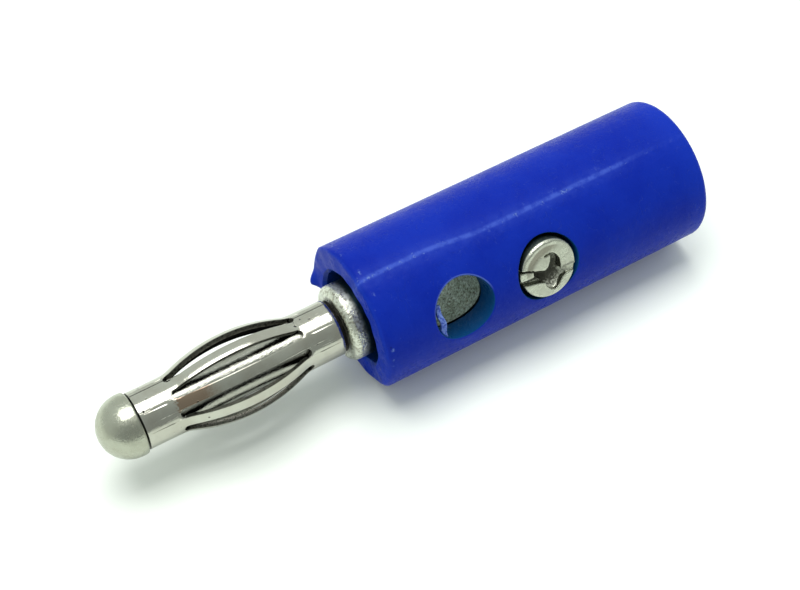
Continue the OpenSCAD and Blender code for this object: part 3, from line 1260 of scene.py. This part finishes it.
@dataclass
class InsulatingSleeve(Piece):
    """Moulded tube with the side socket, the screw's hole, a torn front rim and a loose sliver.

    The turns of a tear are in degrees round the plug. A ripple is a height, a number of waves
    round the rim and a start in degrees.
    """

    node: str = "insulating_sleeve"
    body: Body = Body.PLUG
    slot: Slot = Slot.PLASTIC
    edge_r: float = 0.45
    edge_steps: int = 8
    bore_r: float = 3.15
    mouth: float = 0.2
    turns: int = 224
    pitch: float = 0.3
    rear_pitch: float = 0.5
    rim_pitch: float = 0.14
    entry_pitch: float = 0.6
    hole_rings: int = 5
    socket_margin: float = 0.55
    socket_edge: float = 0.13
    screw_margin: float = 0.45
    screw_gap: float = 0.25
    screw_edge: float = 0.08
    rim_reach: float = 1.1
    rim_inset: Point = (0.5, 0.3)
    rim_ridge: float = 0.25
    ridge_turns: Span = (-18, 12, 28, 47)
    rim_spike: float = 0.42
    spike_turns: Span = (64, 77, 78, 83)
    spike_inside: float = 0.2
    rim_worn: float = 0.2
    worn_turns: Span = (80, 88, 190, 235)
    rim_dip: float = 0.15
    dip_turns: Span = (120, 150, 185, 215)
    ripples: tuple = ((0.02, 7, 0), (0.015, 17, 40))
    sliver_x: Point = (-1.4, 0.85)
    sliver_z: Point = (1.46, 1.8)
    sliver_t: float = 0.2
    sliver_cuts: int = 11
    sliver_edge: float = 0.04
    sliver_taper: float = 0.3
    sliver_wave: Point = (0.05, 5)
    sliver_sink: Point = (0.10, 0.25)
    sliver_tilt: float = 0.06

    def __post_init__(self) -> None:
        """Take the driving sizes from the frame."""
        high = box_mm(self.node)[1]
        self.radius = high.x
        self.length = high.z
        self.ledge_z = box_mm("contact_body")[0].z
        self.entry_r = mount("wire_entry")[1]
        socket, socket_r = mount("cross_hole")
        self.socket = SideHole(socket.z, socket_r, self.socket_margin)
        screw_z, head_r = screw_place()
        self.screw_hole = SideHole(screw_z, head_r + self.screw_gap, self.screw_margin)

    def profile(self) -> list[Point]:
        """Work out the closed half profile, from the rear mouth round the outside to the bore.

        Returns:
            The points.
        """
        edge, mouth, inner = self.edge_r, self.mouth, self.radius - self.edge_r
        points = line((self.entry_r + mouth, 0), (inner, 0), self.rear_pitch)
        points += arc((inner, edge), edge, -90, 0, self.edge_steps)
        points += line((self.radius, edge), (self.radius, self.length - edge), self.pitch)
        points += arc((inner, self.length - edge), edge, 0, 90, self.edge_steps)
        points += line((inner, self.length), (self.bore_r + mouth, self.length), self.rim_pitch)
        points += line((self.bore_r, self.length - mouth), (self.bore_r, self.ledge_z), self.pitch)
        points += line((self.bore_r, self.ledge_z), (self.entry_r, self.ledge_z), self.pitch)
        points += line((self.entry_r, self.ledge_z), (self.entry_r, mouth), self.entry_pitch)
        return points + [(self.entry_r + mouth, 0)]

    def tear_rim(self, place: Vector) -> Vector:
        """Raise and lower the front rim where the moulding flash was torn.

        Args:
            place: A vertex of the sleeve.

        Returns:
            Its new place.
        """
        start = self.length - self.rim_reach
        if place.z < start:
            return place
        turn = (math.degrees(math.atan2(place.y, place.x)) + 90) % 360 - 90
        reach = math.hypot(place.x, place.y)
        share = ((place.z - start) / self.rim_reach) ** 2
        outward = smooth_step(self.bore_r + self.rim_inset[0], self.radius - self.rim_inset[1], reach)
        ridge = self.rim_ridge * hump(self.ridge_turns, turn)
        spike = self.rim_spike * hump(self.spike_turns, turn)
        spike *= self.spike_inside + (1 - self.spike_inside) * outward
        worn = self.rim_worn * hump(self.worn_turns, turn) + self.rim_dip * hump(self.dip_turns, turn)
        ripple = sum(h * math.sin(math.radians(waves * turn + begin)) for h, waves, begin in self.ripples)
        spread = min(1 + share * share * outward * ridge / reach, max(1.0, self.radius / reach))
        rise = share * (spike - worn + ripple)
        return Vector((place.x * spread, place.y * spread, place.z + rise))

    def sliver(self) -> Object:
        """Model the sliver of plastic that bridges the edge of the side socket's mouth.

        Returns:
            The sliver.
        """
        clear_selection()
        bpy.ops.mesh.primitive_cube_add(size=1, location=(0, 0, 0))
        obj = bpy.context.object
        with editing(obj):
            bpy.ops.mesh.select_all(action="SELECT")
            bpy.ops.mesh.subdivide(number_cuts=self.sliver_cuts)
        (first, last), (low, high) = self.sliver_x, self.sliver_z

        def bend(place: Vector) -> Vector:
            """Lay a point of the cube into the sliver, which tapers and sinks towards one end."""
            along = place.x + 0.5
            x = first + (last - first) * along
            narrow = 1 - self.sliver_taper * smooth_step(0.55, 1.0, along)
            middle_z = (low + high) / 2 + self.sliver_wave[0] * math.sin(self.sliver_wave[1] * x)
            z = self.socket.z + middle_z + (high - low) * narrow * place.z
            sink = self.sliver_sink[0] + self.sliver_sink[1] * smooth_step(0.45, 1.0, along)
            sink += self.sliver_tilt * place.z
            y = -math.sqrt(self.radius**2 - x * x) + sink + self.sliver_t * (place.y + 0.5)
            return Vector((x, y, z))

        reshape(obj, bend)
        bevel_edges(obj, self.sliver_edge)
        clean(obj, FINE_MERGE)
        return obj

    def build(self, material: Material) -> None:
        """Model and dress the sleeve.

        Args:
            material: The plastic.
        """
        obj = lathe(self.node, self.profile(), self.turns)
        holes = [(self.socket, side, self.socket_edge) for side in (-1, 1)]
        holes.append((self.screw_hole, -1, self.screw_edge))
        for hole, side, _ in holes:
            hole.window(obj, self.radius, side)
            hole.window(obj, self.bore_r, side)
            hole.tube(obj, ((self.radius, side), (self.bore_r, side)), self.hole_rings)
        clean(obj)
        for hole, side, edge in holes:
            hole.soften(obj, self.radius, side, edge)
        reshape(obj, self.tear_rim)
        clean(obj, FINE_MERGE)
        join(obj, self.sliver())
        self.settle(obj, material)


@dataclass
class ContactBody(Piece):
    """Turned pin: barrel, collar, thin core and domed tip in one piece."""

    node: str = "contact_body"
    body: Body = Body.PLUG
    slot: Slot = Slot.SATIN
    barrel_r: float = 3.0
    shoulder_inset: float = 1.2
    shoulder_edge: float = 0.1
    chamfer: float = 0.3
    collar_r: float = 2.5
    collar_proud: float = 1.05
    collar_edge: float = 0.5
    collar_steps: int = 10
    core_r: float = 1.47
    core_corner: float = 0.05
    core_pitch: float = 1.0
    dome_r: float = 2.0
    dome_h: float = 2.4
    dome_edge: float = 0.06
    dome_lead: float = 2.0
    dome_steps: int = 40
    wire_bore_r: float = 1.5
    drill_angle: float = 118.0
    socket_web: float = 0.6
    socket_margin: float = 0.3
    socket_edge: float = 0.13
    socket_rings: int = 16
    thread_r: float = 1.3
    thread_margin: float = 0.25
    thread_edge: float = 0.08
    thread_rings: int = 5
    turns: int = 128
    pitch: float = 0.3

    def __post_init__(self) -> None:
        """Take the driving sizes from the frame."""
        low, high = box_mm(self.node)
        front_z = box_mm("insulating_sleeve")[1].z
        self.barrel_z = low.z
        self.tip_z = high.z
        self.shoulder_z = front_z - self.shoulder_inset
        self.collar_z = front_z + self.collar_proud
        socket, socket_r = mount("cross_hole")
        self.drill_tip_z = socket.z - socket_r - self.socket_web
        self.socket = SideHole(socket.z, socket_r, self.socket_margin)
        self.thread = SideHole(screw_place()[0], self.thread_r, self.thread_margin)

    def profile(self) -> list[Point]:
        """Work out the half profile, from the drill point round the outside to the tip.

        Returns:
            The points.
        """
        cut, edge, corner, step = self.chamfer, self.collar_edge, self.core_corner, self.shoulder_edge
        bore_r, barrel_r, collar_r, core_r = self.wire_bore_r, self.barrel_r, self.collar_r, self.core_r
        drill_h = bore_r / math.tan(math.radians(self.drill_angle / 2))
        dome_z = self.tip_z - self.dome_h
        centre_z = self.tip_z - self.dome_r
        start = math.degrees(math.asin((dome_z - centre_z) / self.dome_r))
        under_r = self.dome_r * math.cos(math.radians(start)) - self.dome_edge
        points = [(0, self.drill_tip_z)]
        points += line((bore_r, self.drill_tip_z - drill_h), (bore_r, self.barrel_z + cut), self.pitch)
        points += [(bore_r + cut, self.barrel_z), (barrel_r - cut, self.barrel_z)]
        points += line((barrel_r, self.barrel_z + cut), (barrel_r, self.shoulder_z - step), self.pitch)
        points += [(barrel_r - step, self.shoulder_z)]
        points += line((collar_r, self.shoulder_z), (collar_r, self.collar_z - edge), self.pitch)
        points += arc((collar_r - edge, self.collar_z - edge), edge, 0, 90, self.collar_steps)
        points += [(core_r + corner, self.collar_z)]
        points += line((core_r, self.collar_z + corner), (core_r, dome_z - corner), self.core_pitch)
        points += [(core_r + corner, dome_z), (under_r, dome_z)]
        points += arc((0, centre_z), self.dome_r, start + self.dome_lead, 90, self.dome_steps)
        return points[:-1] + [(0, self.tip_z)]

    def build(self, material: Material) -> None:
        """Model and dress the pin.

        Args:
            material: The satin nickel.
        """
        obj = lathe(self.node, self.profile(), self.turns)
        sides = (-1, 1)
        for side in sides:
            self.socket.window(obj, self.barrel_r, side)
        self.socket.tube(obj, [(self.barrel_r, side) for side in sides], self.socket_rings)
        walls = (self.barrel_r, self.wire_bore_r)
        for wall_r in walls:
            self.thread.window(obj, wall_r, -1)
        self.thread.tube(obj, [(wall_r, -1) for wall_r in walls], self.thread_rings)
        clean(obj)
        for side in sides:
            self.socket.soften(obj, self.barrel_r, side, self.socket_edge)
        self.thread.soften(obj, self.barrel_r, -1, self.thread_edge)
        clean(obj, FINE_MERGE)
        self.settle(obj, material)


@dataclass
class SpringCage(Piece):
    """Lantern spring: nine bowed leaves between two rings, rolled with an open seam."""

    node: str = "spring_cage"
    body: Body = Body.CAGE
    slot: Slot = Slot.BRIGHT
    ring_r: float = 1.83
    strip_t: float = 0.3
    leaf_count: int = 9
    leaf_rise: float = 0.83
    ring_len: float = 2.2
    straight: float = 0.35
    slot_w: float = 0.58
    seam_w: float = 0.06
    seam_turn: float = -3.0
    edge_r: float = 0.045
    fillet: float = 0.05
    weld: float = 0.01
    leaf_columns: int = 8
    slot_columns: int = 7
    ring_rows: int = 8
    leaf_rows: int = 44

    def __post_init__(self) -> None:
        """Take the driving sizes from the frame and count the flat grid."""
        low, high = box_mm(self.node)
        self.start_z = low.z
        self.end_z = high.z
        self.pitch = math.tau / self.leaf_count
        self.half_leaf = self.ring_r * self.pitch / 2 - self.slot_w / 2
        span = (self.end_z - self.start_z) / 2 - self.ring_len - self.straight
        self.arc_r = (span * span + self.leaf_rise**2) / (2 * self.leaf_rise)
        self.columns = 2 * self.slot_columns + self.leaf_columns
        self.rows = 2 * self.ring_rows + self.leaf_rows

    def bow(self, z: float) -> float:
        """Work out how far a leaf stands out of the rings, with soft folds at its ends.

        Args:
            z: A height.

        Returns:
            The distance.
        """
        off = z - (self.start_z + self.end_z) / 2
        if abs(off) >= self.arc_r:
            return 0.0
        rise = self.leaf_rise - self.arc_r + math.sqrt(self.arc_r**2 - off * off)
        return (rise + math.sqrt(rise * rise + 4 * self.fillet**2)) / 2

    def form(self, place: Vector) -> Vector:
        """Take a vertex of the flat grid to its place on the sector round +X.

        Args:
            place: Column number as x and row number as y, both from the grid's corner.

        Returns:
            The place on the sector.
        """
        column, row = round(place.x), round(place.y)
        inner = min(max(column - self.slot_columns, 0), self.leaf_columns)
        across = self.half_leaf * (2 * inner / self.leaf_columns - 1)
        beyond = max(self.slot_columns - column, column - (self.columns - self.slot_columns), 0)
        half_slot = self.slot_w / 2
        swing = math.radians(90 * (beyond / self.slot_columns))
        across += math.copysign(1, across) * half_slot * (1 - math.cos(swing))
        shoulder = self.ring_len + half_slot
        ring_edge = shoulder - half_slot * math.sin(swing)
        if row <= self.ring_rows:
            z = self.start_z + ring_edge * row / self.ring_rows
        elif row >= self.ring_rows + self.leaf_rows:
            z = self.end_z - ring_edge * (self.rows - row) / self.ring_rows
        else:
            share = (row - self.ring_rows) / self.leaf_rows
            z = self.start_z + shoulder + (self.end_z - self.start_z - 2 * shoulder) * share
        turn = across / self.ring_r
        out = self.bow(z) if abs(across) <= self.half_leaf + MERGE else 0.0
        return Vector((self.ring_r * math.cos(turn) + out, self.ring_r * math.sin(turn), z))

    def sector(self) -> Object:
        """Model one leaf with its share of both rings, as a sheet round +X.

        Returns:
            The sheet.
        """
        columns, rows = self.columns, self.rows
        clear_selection()
        bpy.ops.mesh.primitive_grid_add(
            x_subdivisions=columns, y_subdivisions=rows, size=1, location=(0, 0, 0)
        )
        obj = bpy.context.object
        reshape(obj, lambda v: Vector(((v.x + 0.5) * columns, (v.y + 0.5) * rows, 0)))

        def in_slot(face: BMFace) -> bool:
            """Return whether a face of the flat grid lies in a slot."""
            spot = face.calc_center_median()
            beside = spot.x < self.slot_columns or spot.x > columns - self.slot_columns
            return beside and self.ring_rows < spot.y < rows - self.ring_rows

        with editing(obj):
            pick(obj, Part.FACE, in_slot)
            bpy.ops.mesh.delete(type="FACE")
        reshape(obj, self.form)
        return obj

    def open_seam(self, obj: Object, side: int) -> None:
        """Draw one side of a sector back from the seam.

        Args:
            obj: The sector, still round +X.
            side: 1 for its side towards +Y, -1 for the other.
        """
        edge = self.pitch / 2
        tangent = Vector((math.sin(edge), -side * math.cos(edge), 0))
        with editing(obj):
            pick(obj, Part.VERT, lambda v: abs(side * math.atan2(v.co.y, v.co.x) - edge) < 1e-3)
            bpy.ops.transform.translate(value=tangent * self.seam_w / 2)

    def build(self, material: Material) -> None:
        """Model and dress the cage.

        Args:
            material: The bright nickel.
        """
        obj = self.sector()
        sectors = [obj] + [duplicate(obj) for _ in range(self.leaf_count - 1)]
        self.open_seam(sectors[0], -1)
        self.open_seam(sectors[-1], 1)
        for index, item in enumerate(sectors):
            activate(item)
            item.rotation_euler.z = math.radians(self.seam_turn) + self.pitch * (index + 0.5)
            bpy.ops.object.transform_apply(location=False, rotation=True, scale=False)
        join(*sectors)
        clean(obj, self.weld)
        with editing(obj):
            mesh = bmesh.from_edit_mesh(obj.data)
            face = next(iter(mesh.faces))
            centre = face.calc_center_median()
            if face.normal.dot(Vector((centre.x, centre.y, 0))) < 0:
                bpy.ops.mesh.select_all(action="SELECT")
                bpy.ops.mesh.flip_normals()
        apply_modifier(obj, "SOLIDIFY", thickness=self.strip_t, offset=-1.0)
        bevel_edges(obj, self.edge_r)
        self.settle(obj, material)


@dataclass
class ClampScrew(Piece):
    """Cheese-head screw with a thread and a chewed slot and cross recess.

    The outlines are in the plane of the head: first across the plug, then along it.
    """

    node: str = "clamp_screw"
    body: Body = Body.SCREW
    slot: Slot = Slot.STEEL
    smooth_angle: float = 40.0
    head_h: float = 1.4
    head_edge: float = 0.15
    head_steps: int = 8
    seat_edge: float = 0.05
    face_drop: float = 0.07
    shank_r: float = 1.25
    neck: float = 0.1
    thread_pitch: float = 0.45
    thread_depth: float = 0.24
    thread_crest: Point = (0.45, 0.55)
    end_chamfer: float = 0.3
    clear: float = 0.3
    recess_r: float = 1.7
    recess_floor_r: float = 0.45
    recess_depth: float = 1.0
    recess_shift: float = -0.25
    recess_steps: int = 48
    recess: tuple = (
        (0.88, -0.27), (0.94, -0.50), (0.72, -0.69), (0.39, -0.85), (0.01, -0.88), (-0.36, -0.81),
        (-0.48, -1.13), (-0.60, -1.45), (-0.85, -1.13), (-1.00, -0.84), (-1.21, -0.64), (-1.44, -0.45),
        (-1.56, -0.16), (-1.46, 0.13), (-1.11, 0.39), (-0.79, 0.44), (-0.52, 0.76), (-0.19, 1.07),
        (0.14, 1.20), (0.26, 1.09), (0.15, 0.70), (-0.02, 0.29), (0.12, 0.03), (0.43, -0.16),
    )
    curl: tuple = (
        (0.89, 0.27), (1.01, 0.08), (1.03, -0.22), (0.97, -0.44), (0.82, -0.33), (0.88, -0.12), (0.85, 0.07),
    )
    curl_depth: float = 0.25
    slot_left: tuple = (
        (0.68, 2.3), (0.52, 1.52), (0.30, 1.02), (-0.25, 1.00), (-0.62, 0.33), (-0.85, 0.38), (-0.67, 0.87),
        (-0.53, 1.51), (-0.40, 2.3),
    )
    left_depth: float = 0.5
    slot_right: tuple = (
        (-0.33, -0.78), (-0.38, -1.45), (-0.43, -2.2), (-0.87, -2.2), (-0.85, -1.43), (-0.85, -0.98),
        (-0.58, -0.73),
    )
    right_depth: float = 0.17
    burr: tuple = (
        (0.48, 2.0), (0.38, 1.52), (0.20, 1.10), (-0.15, 1.08), (-0.14, 1.50), (-0.10, 2.03), (0.22, 2.07),
    )
    burr_depths: Point = (0.7, 0.03)
    wear_depth: float = 0.2
    lip_inset: float = 0.2
    lip_w: float = 0.6
    lip_turns: Span = (-32, -8, 36, 58)
    slot_line: Point = (-0.30, 0.06)
    slot_lip: float = 0.8
    slot_lip_w: float = 0.12
    slot_lip_reach: Point = (0.8, 0.95)
    turns: int = 128
    voxel: float = 0.04

    def __post_init__(self) -> None:
        """Take the driving sizes from the frame."""
        low, high = box_mm(self.node)
        self.axis_z, self.head_r = screw_place()
        self.top = -low.y
        self.end = -high.y
        self.face = self.top - self.face_drop

    def profile(self) -> list[Point]:
        """Work out the half profile along the screw's axis, from its end to the top of its head.

        Returns:
            The points.
        """
        seat = self.top - self.head_h
        root_r = self.shank_r - self.thread_depth
        points = [(0, self.end), (self.shank_r - self.end_chamfer, self.end)]
        place = self.end + self.end_chamfer
        while place + self.thread_pitch < seat - self.neck:
            points.append((root_r, place))
            points += [(self.shank_r, place + self.thread_pitch * share) for share in self.thread_crest]
            place += self.thread_pitch
        points += [(root_r, place), (root_r, seat)]
        points += [(self.head_r - self.seat_edge, seat), (self.head_r, seat + self.seat_edge)]
        edge = self.head_edge
        points += arc((self.head_r - edge, self.face - edge), edge, 0, 90, self.head_steps)
        return points + [(0, self.face)]

    def prism(self, outline: Sequence[Point], low: float, high: float) -> Object:
        """Make a prism from an outline in the plane of the head.

        Args:
            outline: The corners in order.
            low: Height of its floor along the screw.
            high: Height of its top.

        Returns:
            The prism.
        """
        clear_selection()
        bpy.ops.mesh.primitive_circle_add(
            vertices=len(outline), radius=1, fill_type="NGON", location=(0, 0, 0)
        )
        obj = bpy.context.object
        for vertex, spot in zip(obj.data.vertices, outline):
            vertex.co = (*spot, low)
        with editing(obj):
            bpy.ops.mesh.select_all(action="SELECT")
            bpy.ops.mesh.extrude_region_move(TRANSFORM_OT_translate={"value": (0, 0, high - low)})
        clean(obj)
        return obj

    def recess_cutter(self) -> Object:
        """Make the cutter of the cross recess, whose floor slopes to its middle.

        Returns:
            The cutter.
        """
        slope = (self.recess_r - self.recess_floor_r) / self.recess_depth
        clear_selection()
        bpy.ops.mesh.primitive_cone_add(
            vertices=self.recess_steps,
            radius1=self.recess_floor_r,
            radius2=self.recess_r + slope * self.clear,
            depth=self.recess_depth + self.clear,
            location=(self.recess_shift, 0, self.top + (self.clear - self.recess_depth) / 2),
        )
        cone = bpy.context.object
        bpy.ops.object.transform_apply(location=True, rotation=True, scale=True)
        arms = self.prism(self.recess, self.top - 2 * self.recess_depth, self.top + self.clear / 2)
        combine(cone, arms, Mode.KEEP)
        return cone

    def wear(self, place: Vector) -> Vector:
        """Turn up the edge of the head's face on one side and along the slot.

        Args:
            place: A vertex, with the screw's axis along Z.

        Returns:
            Its new place.
        """
        if place.z < self.face - self.wear_depth:
            return place
        reach = math.hypot(place.x, place.y)
        turn = math.degrees(math.atan2(place.y, place.x))
        crest = self.head_r - self.lip_inset
        lip = hump((crest - self.lip_w, crest, crest + 0.02, self.head_r), reach)
        lip *= hump(self.lip_turns, turn)
        off_line = abs(place.x - (self.slot_line[0] + self.slot_line[1] * place.y))
        edge = (1 - smooth_step(0.0, self.slot_lip_w, off_line)) * smooth_step(*self.slot_lip_reach, -place.y)
        share = smooth_step(self.face - self.wear_depth, self.face - 0.05, place.z)
        rise = self.face_drop * share * max(lip, self.slot_lip * edge)
        return Vector((place.x, place.y, min(self.top, place.z + rise)))

    def build(self, material: Material) -> None:
        """Model and dress the screw.

        Args:
            material: The worn steel.
        """
        obj = lathe(self.node, self.profile(), self.turns)
        for outline, depth in (
            (self.slot_left, self.left_depth),
            (self.slot_right, self.right_depth),
            (self.curl, self.curl_depth),
        ):
            combine(obj, self.prism(outline, self.face - depth, self.top + self.clear), Mode.CUT)
        combine(obj, self.recess_cutter(), Mode.CUT)
        floor, top = (self.face - depth for depth in self.burr_depths)
        combine(obj, self.prism(self.burr, floor, top), Mode.ADD)
        apply_modifier(obj, "REMESH", mode="VOXEL", voxel_size=self.voxel, adaptivity=0.0)
        apply_modifier(obj, "SMOOTH", factor=0.5, iterations=2)
        reshape(obj, self.wear)
        activate(obj)
        obj.matrix_world = Matrix.Translation((0, 0, self.axis_z)) @ Matrix.Rotation(math.pi / 2, 4, "X")
        bpy.ops.object.transform_apply(location=True, rotation=True, scale=True)
        self.settle(obj, material)


@dataclass
class Studio:
    """White table under the lying plug, soft light and the camera."""

    table_turn: float = 66.0
    table_half: float = 1.0
    table_grid: int = 8
    table_tone: Colour = (0.90, 0.935, 0.88, 1.0)
    table_lift: float = 0.02
    aim: tuple = (0.0, -0.065, 20.56)
    azimuth: float = 32.58
    elevation: float = 18.62
    distance: float = 101.6
    lens: float = 73.2
    sensor: float = 36.0
    clip: Point = (0.001, 20.0)
    key_distance: float = 280.0
    key_shift: Point = (40.0, 5.0)
    key_size: Point = (164.0, 220.0)
    key_power: float = 0.64
    room: Point = (0.43, 0.9)
    room_reach: Point = (-0.9, 0.45)
    room_tint: Colour = (0.93, 1.0, 0.965, 1.0)

    def __post_init__(self) -> None:
        """Work out the table's directions."""
        turn = math.radians(self.table_turn)
        self.up = Vector((math.sin(turn), -math.cos(turn), 0))
        self.across = Vector((math.cos(turn), math.sin(turn), 0))
        self.sleeve_r = box_mm("insulating_sleeve")[1].x

    def table_top(self) -> Material:
        """Build the white table's material, which can be looked through from below.

        Returns:
            The material.
        """
        material = bpy.data.materials.new("white_table_top")
        material.use_nodes = True
        tree = Tree(material.node_tree)
        path = tree.add("LightPath")
        looking = path.outputs["Is Camera Ray"]
        for kind in ("Is Glossy Ray", "Is Transmission Ray"):
            looking = tree.most(looking, path.outputs[kind])
        matt = tree.add("BsdfDiffuse", Color=self.table_tone)
        lift = tree.add("Emission", Strength=tree.times(looking, self.table_lift))
        lit = tree.fill(tree.add("AddShader"), matt.outputs[0], lift.outputs[0])
        below = tree.add("NewGeometry").outputs["Backfacing"]
        through = tree.add("BsdfTransparent")
        both = tree.fill(tree.add("MixShader"), below, lit.outputs[0], through.outputs[0])
        tree.add("OutputMaterial", Surface=both.outputs[0])
        return material

    def table(self) -> None:
        """Lay the white table under the sleeve."""
        clear_selection()
        bpy.ops.mesh.primitive_grid_add(
            x_subdivisions=self.table_grid,
            y_subdivisions=self.table_grid,
            size=2 * self.table_half,
            location=(0, 0, 0),
        )
        obj = bpy.context.object
        obj.name = "white_table"
        facing = Matrix((self.across, Vector((0, 0, 1)), self.up)).transposed().to_4x4()
        obj.matrix_world = Matrix.Translation(-self.up * self.sleeve_r * MM) @ facing
        bpy.ops.object.transform_apply(location=True, rotation=True, scale=True)
        obj.data.materials.append(self.table_top())
        log.info("%s is the stage", obj.name)

    def look(self, place: Vector, target: Vector, up: Vector) -> Matrix:
        """Work out the matrix of a camera or lamp that looks at a point.

        Args:
            place: Where it stands.
            target: What it looks at.
            up: What is up in its picture.

        Returns:
            Its matrix.
        """
        back = (place - target).normalized()
        right = up.cross(back).normalized()
        turn = Matrix((right, back.cross(right), back)).transposed()
        return Matrix.Translation(place) @ turn.to_4x4()

    def lamps(self) -> None:
        """Hang the softbox over the table."""
        clear_selection()
        beside, ahead = self.key_shift
        place = self.up * self.key_distance + self.across * beside + Vector((0, 0, self.aim[2] + ahead))
        bpy.ops.object.light_add(type="AREA")
        lamp = bpy.context.object
        lamp.name = "softbox"
        lamp.data.shape = "RECTANGLE"
        lamp.data.size = self.key_size[1] * MM
        lamp.data.size_y = self.key_size[0] * MM
        lamp.data.energy = self.key_power
        lamp.matrix_world = self.look(place * MM, Vector(self.aim) * MM, self.across)
        lamp.visible_camera = False
        log.info("%s hangs %.0f mm over the table", lamp.name, self.key_distance)

    def world(self) -> None:
        """Light the scene from all sides, more from behind the plug than from the camera's side."""
        scene = bpy.context.scene
        scene.world = bpy.data.worlds.new("studio_world")
        scene.world.use_nodes = True
        tree = Tree(scene.world.node_tree)
        behind = tree.dot(tree.add("TexCoord").outputs["Generated"], self.across)
        strength = tree.remap(behind, *self.room_reach, *self.room)
        room = tree.add("Background", Color=self.room_tint, Strength=strength)
        tree.add("OutputWorld", Surface=room.outputs[0])
        scene.view_settings.view_transform = "Standard"

    def camera(self) -> None:
        """Set the camera at the photograph's viewing angle."""
        turn, rise = math.radians(self.azimuth), math.radians(self.elevation)
        way = Vector((math.sin(turn) * math.cos(rise), -math.cos(turn) * math.cos(rise), math.sin(rise)))
        target = Vector(self.aim)
        clear_selection()
        bpy.ops.object.camera_add()
        cam = bpy.context.object
        cam.name = "photo_camera"
        cam.data.sensor_fit = "HORIZONTAL"
        cam.data.sensor_width = self.sensor
        cam.data.lens = self.lens
        cam.data.clip_start, cam.data.clip_end = self.clip
        cam.matrix_world = self.look((target + way * self.distance) * MM, target * MM, self.up)
        bpy.context.scene.camera = cam

    def build(self) -> None:
        """Set up the table, the light and the camera."""
        self.table()
        self.lamps()
        self.world()
        self.camera()


def main() -> None:
    """Build the plug and its studio."""
    logging.basicConfig(level=logging.INFO, format="%(message)s")
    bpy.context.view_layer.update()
    groups = SurfaceGroups()
    socket, socket_r = mount("cross_hole")
    sleeve, contact, cage, screw = InsulatingSleeve(), ContactBody(), SpringCage(), ClampScrew()
    axis = Vector((0, 0, screw.axis_z))
    plastic = ScuffedPlastic(
        groups,
        socket=socket,
        socket_r=socket_r,
        screw=axis,
        screw_r=sleeve.screw_hole.radius,
        bore_r=sleeve.bore_r,
        front_z=sleeve.length,
    )
    core = (contact.collar_z, contact.tip_z - contact.dome_h)
    satin = TurnedNickel(groups, hole_centre=socket, hole_r=socket_r, core=core, mouth_z=sleeve.length)
    bright = RolledNickel(groups)
    steel = WornSteel(groups, top_y=-screw.top, centre=axis, head_r=screw.head_r)
    for piece, finish in ((sleeve, plastic), (contact, satin), (cage, bright), (screw, steel)):
        piece.build(finish.material())
    Studio().build()


if __name__ == "__main__":
    main()
